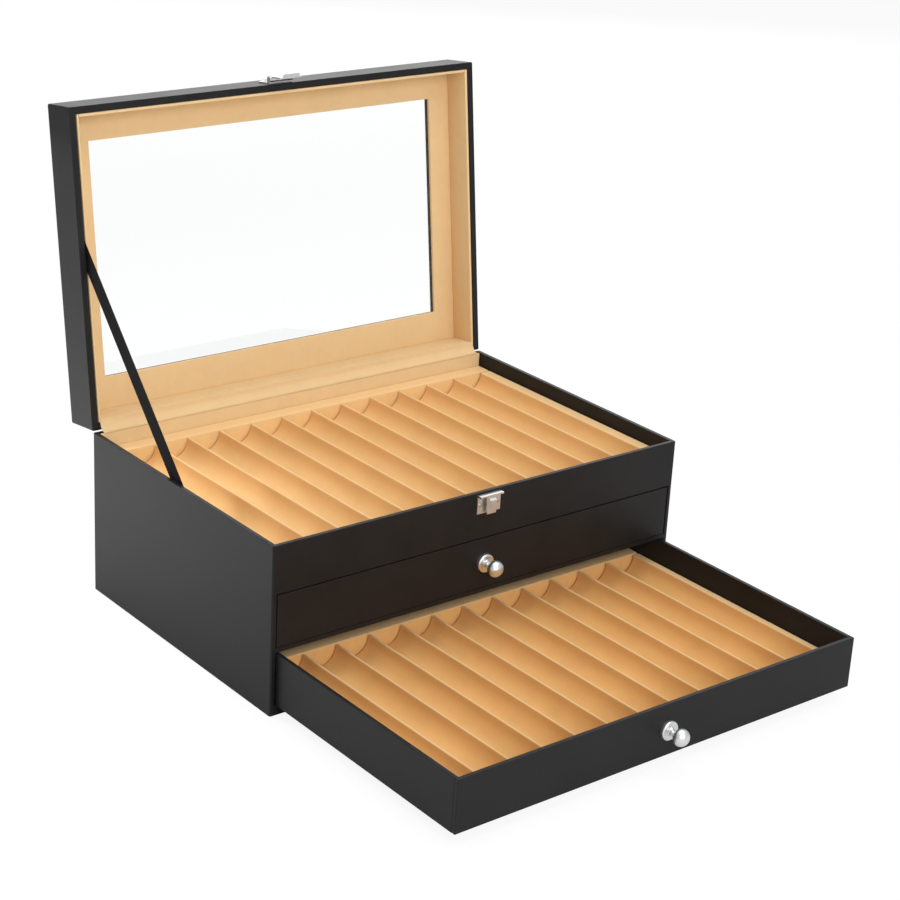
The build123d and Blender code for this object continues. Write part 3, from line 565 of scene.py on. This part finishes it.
def rails(tray, body, pile):
    """The velvet strips across the ends of the grooves."""
    ridges_low, ridges_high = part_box(tray + "_tray_ridges")
    low, high = (Vector(corner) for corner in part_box(tray + "_tray_rails"))
    front = (low, Vector((high.x, ridges_low[1], high.z)))
    back = (Vector((low.x, ridges_high[1], low.z)), high)
    wrapped_panels(
        tray + "_velvet_rails", tray + "_tray_rails", (front, back), pile, body
    )


def window_panel(turn):
    """The velvet-wrapped frame inside the lid's window, with rounded edges all round."""
    points = corners_of("lid_window_lining", turn)
    low, high = extent(points)
    near = [p for p in points if low.x + WINDOW_MARGIN < p.x < high.x - WINDOW_MARGIN]
    hole_low, hole_high = extent(near)
    builder = bmesh.new()
    loops = []
    for corner_low, corner_high, grow in ((low, high, -PANEL_SINK), (hole_low, hole_high, PANEL_SINK)):
        for z in (low.z + PANEL_SINK, high.z - PANEL_SINK):
            corners = (
                (corner_low.x - grow, corner_low.y - grow),
                (corner_high.x + grow, corner_low.y - grow),
                (corner_high.x + grow, corner_high.y + grow),
                (corner_low.x - grow, corner_high.y + grow),
            )
            loops.append([builder.verts.new((x, y, z)) for x, y in corners])
    outer_low, outer_high, inner_low, inner_high = loops
    walls = (
        (outer_low, outer_high), (outer_high, inner_high),
        (inner_high, inner_low), (inner_low, outer_low),
    )
    for first, second in walls:
        for i in range(4):
            following = (i + 1) % 4
            builder.faces.new((first[i], first[following], second[following], second[i]))
    bmesh.ops.recalc_face_normals(builder, faces=builder.faces)
    edges = [e for e in builder.edges if e.calc_face_angle(0.0) > FOLD_ANGLE]
    bmesh.ops.bevel(builder, geom=edges, offset=PANEL_EDGE, segments=3, profile=0.5, affect="EDGES")
    bmesh.ops.transform(builder, matrix=turn, verts=builder.verts)
    piece = add_object("lid_window_panel", builder, LINING_VELVET, "lid")
    shade_by_angle(piece)
    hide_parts("lid_window_lining")


# ---- ribbon and hinge cloth ----
def lid_turn():
    """The turn of the lid from closed to as it stands."""
    hinge = Vector((0, HINGE_Y, HINGE_Z))
    turn = Matrix.Rotation(-OPEN_ANGLE, 4, "X")
    return Matrix.Translation(hinge) @ turn @ Matrix.Translation(-hinge)


def ribbon():
    """The black ribbon that holds the lid, pulled straight, its selvages a little thinner."""
    points = sorted(corners_of("lid_stay_ribbon"), key=lambda p: p.z)
    half = len(points) // 2
    start = sum(points[:half], Vector()) / half
    end = sum(points[half:], Vector()) / half
    along = (end - start).normalized()
    face = (Vector((1, 0, 0)) - along * along.x).normalized()
    across = face.cross(along)
    builder = bmesh.new()
    layer = builder.loops.layers.uv.new("weave")
    rows = []
    for row in range(RIBBON_STEPS + 1):
        place = start.lerp(end, row / RIBBON_STEPS)
        ring = []
        for side in (1, -1):
            for column in range(RIBBON_ACROSS + 1):
                share = (column / RIBBON_ACROSS * 2 - 1) * side
                cup = RIBBON_CUP * (1 - share * share) * sin(row / RIBBON_STEPS * pi)
                thick = RIBBON_THICK * (RIBBON_SELVAGE if abs(share) == 1 else 0.5)
                ring.append(place + across * share * RIBBON_WIDTH / 2 + face * (thick * side + cup))
        rows.append(ring)
    loft_rows(builder, rows)
    builder.verts.ensure_lookup_table()
    for polygon in builder.faces:
        for loop in polygon.loops:
            offset = loop.vert.co - start
            loop[layer].uv = (offset.dot(along), offset.dot(across))
    piece = add_object("lid_ribbon", builder, RIBBON_WEAVE, None)
    shade_by_angle(piece)
    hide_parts("lid_stay_ribbon")
    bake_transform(piece)


def lid_point(reach, lift):
    """Y and Z of a point of the open lid: reach from its back face, lift above its edge when closed."""
    y = HALF_DEPTH - reach - HINGE_Y
    z = LID_Z + lift - HINGE_Z
    return Vector((
        HINGE_Y + y * cos(OPEN_ANGLE) + z * sin(OPEN_ANGLE),
        HINGE_Z - y * sin(OPEN_ANGLE) + z * cos(OPEN_ANGLE),
    ))


def softened(line, rounds):
    """A line with its corners cut off again and again."""
    for _ in range(rounds):
        cut = [line[0]]
        for a, b in zip(line, line[1:]):
            cut += [a.lerp(b, 0.25), a.lerp(b, 0.75)]
        line = cut + [line[-1]]
    return line


def hinge_cloth():
    """Velvet cloth over the hinge line, glued to the rim and to the lid, a little loose between."""
    low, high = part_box("hinge_cloth")
    rim = low[2] + CLOTH_THICK / 2
    corners = [
        Vector((low[1], rim)),
        Vector((CLOTH_RIM_END, rim)),
        lid_point(CLOTH_LID_START, -CLOTH_THICK),
        lid_point(CLOTH_LID_END, -CLOTH_THICK),
    ]
    path = softened(corners, CLOTH_ROUNDS)
    half = high[0]
    last = len(path) - 1
    lengthwise, crosswise, seed = CLOTH_NOISE
    builder = bmesh.new()
    rings = []
    for column in range(CLOTH_COLUMNS + 1):
        x = -half + 2 * half * column / CLOTH_COLUMNS
        faces = ([], [])
        for i, point in enumerate(path):
            way = (path[min(i + 1, last)] - path[max(i - 1, 0)]).normalized()
            outward = Vector((-way.y, way.x))
            loose = sin(pi * i / last) ** 2
            ripple = noise.noise(Vector((x * lengthwise, i * crosswise, seed)))
            puff = CLOTH_PUFF * loose * (0.5 + ripple)
            for side, face in zip((0.5, -0.5), faces):
                spot = point + outward * (CLOTH_THICK * side + puff)
                face.append((x, spot.x, spot.y))
        rings.append(faces[0] + faces[1][::-1])
    loft_rows(builder, rings)
    piece = add_object("hinge_line_cloth", builder, LINING_VELVET, None)
    shade_by_angle(piece)
    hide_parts("hinge_cloth")
    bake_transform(piece)


# ---- stage, light and camera ----
def looked_at(tree, path):
    """1 on rays from the camera, also through glass, and 0 on the rays that light the chest."""
    seen = math_node(tree, "MAXIMUM", path.outputs["Is Camera Ray"], path.outputs["Is Transmission Ray"])
    unscattered = math_node(tree, "LESS_THAN", path.outputs["Diffuse Depth"], 0.5)
    return math_node(tree, "MULTIPLY", seen, unscattered)


def seen_white(tree, shader, share):
    """Mixes a shader with plain white for what is looked at."""
    path = tree.nodes.new("ShaderNodeLightPath")
    white = tree.nodes.new("ShaderNodeEmission")
    white.inputs["Color"].default_value = (1, 1, 1, 1)
    white.inputs["Strength"].default_value = WHITE_LEVEL
    factor = math_node(tree, "MULTIPLY", looked_at(tree, path), share)
    mix = tree.nodes.new("ShaderNodeMixShader")
    tree.links.new(factor, mix.inputs["Fac"])
    tree.links.new(shader, mix.inputs[1])
    tree.links.new(white.outputs[0], mix.inputs[2])
    return mix.outputs[0]


def floor():
    """A wide sheet of white paper that keeps the chest's shadow."""
    material = bpy.data.materials.new("floor_paper")
    material.use_nodes = True
    tree = material.node_tree
    shader = tree.nodes["Principled BSDF"]
    shader.inputs["Base Color"].default_value = (0.90, 0.90, 0.90, 1)
    shader.inputs["Roughness"].default_value = 0.9
    shader.inputs["Specular IOR Level"].default_value = 0.1
    mixed = seen_white(tree, shader.outputs[0], FLOOR_LIT)
    tree.links.new(mixed, tree.nodes["Material Output"].inputs["Surface"])
    builder = bmesh.new()
    bmesh.ops.create_grid(builder, x_segments=1, y_segments=1, size=FLOOR_SIZE / 2)
    mesh = bpy.data.meshes.new("floor")
    builder.to_mesh(mesh)
    builder.free()
    mesh.materials.append(material)
    plane = bpy.data.objects.new("floor", mesh)
    bpy.context.scene.collection.objects.link(plane)


def world():
    """An even white surround: full white where it is seen, softer where it lights."""
    surround = bpy.data.worlds.new("surround")
    bpy.context.scene.world = surround
    surround.use_nodes = True
    tree = surround.node_tree
    tree.nodes.clear()
    output = tree.nodes.new("ShaderNodeOutputWorld")
    background = tree.nodes.new("ShaderNodeBackground")
    path = tree.nodes.new("ShaderNodeLightPath")
    lit = tree.nodes.new("ShaderNodeMapRange")
    lit.inputs["To Min"].default_value = WORLD_LEVEL
    lit.inputs["To Max"].default_value = GLOSS_LEVEL
    tree.links.new(path.outputs["Is Glossy Ray"], lit.inputs["Value"])
    level = tree.nodes.new("ShaderNodeMapRange")
    level.inputs["To Max"].default_value = 1.0
    tree.links.new(lit.outputs["Result"], level.inputs["To Min"])
    tree.links.new(looked_at(tree, path), level.inputs["Value"])
    tree.links.new(level.outputs["Result"], background.inputs["Strength"])
    tree.links.new(background.outputs[0], output.inputs["Surface"])


def softbox(name, place, target, width, height, watts):
    """A rectangular lamp that shines from a place towards a target."""
    data = bpy.data.lights.new(name, "AREA")
    data.shape = "RECTANGLE"
    data.size = width
    data.size_y = height
    data.energy = watts
    lamp = bpy.data.objects.new(name, data)
    lamp.location = place
    lamp.rotation_euler = (Vector(target) - Vector(place)).to_track_quat("-Z", "Y").to_euler()
    bpy.context.scene.collection.objects.link(lamp)


def lights():
    """Soft light from above and the front, and weak lamps for the left wall and the gloss."""
    softbox("overhead", (0.15, -0.35, 1.7), (0, -0.05, 0.1), 1.4, 1.4, 12.5)
    softbox("front", (-0.60, -2.1, 1.15), (0, 0, 0.15), 1.5, 1.1, 25.0)
    softbox("left_rear", (-0.36, 0.32, 0.32), (-0.36, 0.32, 0), 0.20, 0.20, 1.9)
    softbox("backdrop", (1.3, 1.6, 0.8), (0, 0, 0.15), 1.6, 1.2, 11.0)


def camera():
    """The photograph's view: place, direction, roll and lens."""
    a, e, roll = CAMERA_AZIMUTH, CAMERA_ELEVATION, CAMERA_ROLL
    level = Vector((cos(a), sin(a), 0))
    back = Vector((sin(a) * cos(e), -cos(a) * cos(e), sin(e)))
    upright = back.cross(level)
    right = level * cos(roll) + upright * sin(roll)
    up = upright * cos(roll) - level * sin(roll)
    data = bpy.data.cameras.new("camera")
    data.lens = CAMERA_LENS
    data.sensor_width = CAMERA_SENSOR
    data.clip_start = 0.05
    view = bpy.data.objects.new("camera", data)
    axes = Matrix((right, up, back)).transposed().to_4x4()
    view.matrix_world = Matrix.Translation(CAMERA_PLACE) @ axes
    bpy.context.scene.collection.objects.link(view)
    bpy.context.scene.camera = view


camera()
dress_cad_nodes()
TURN = lid_turn()
TRAYS = (
    ("top", "case", TRAY_VELVET),
    ("upper_drawer", "upper_drawer", SHADED_DRAWER_VELVET),
    ("lower_drawer", "lower_drawer", SHADED_DRAWER_VELVET),
)
for number, (tray, body, pile) in enumerate(TRAYS):
    velvet_grooves(tray, body, pile, number * 11.0)
    rails(tray, body, pile)
wrapped_panels(
    "case_back_lining", "back_lining", [extent(corners_of("back_lining"))],
    LINING_VELVET, "case",
)
wrapped_panels(
    "lid_lining_strips", "lid_wall_linings",
    ring_strips(*extent(corners_of("lid_wall_linings", TURN)), WALL_LINING, LINING_FILL),
    LINING_VELVET, "lid", TURN,
)
window_panel(TURN)
hinge_cloth()
ribbon()
floor()
world()
lights()
bpy.context.scene.view_settings.view_transform = "Standard"
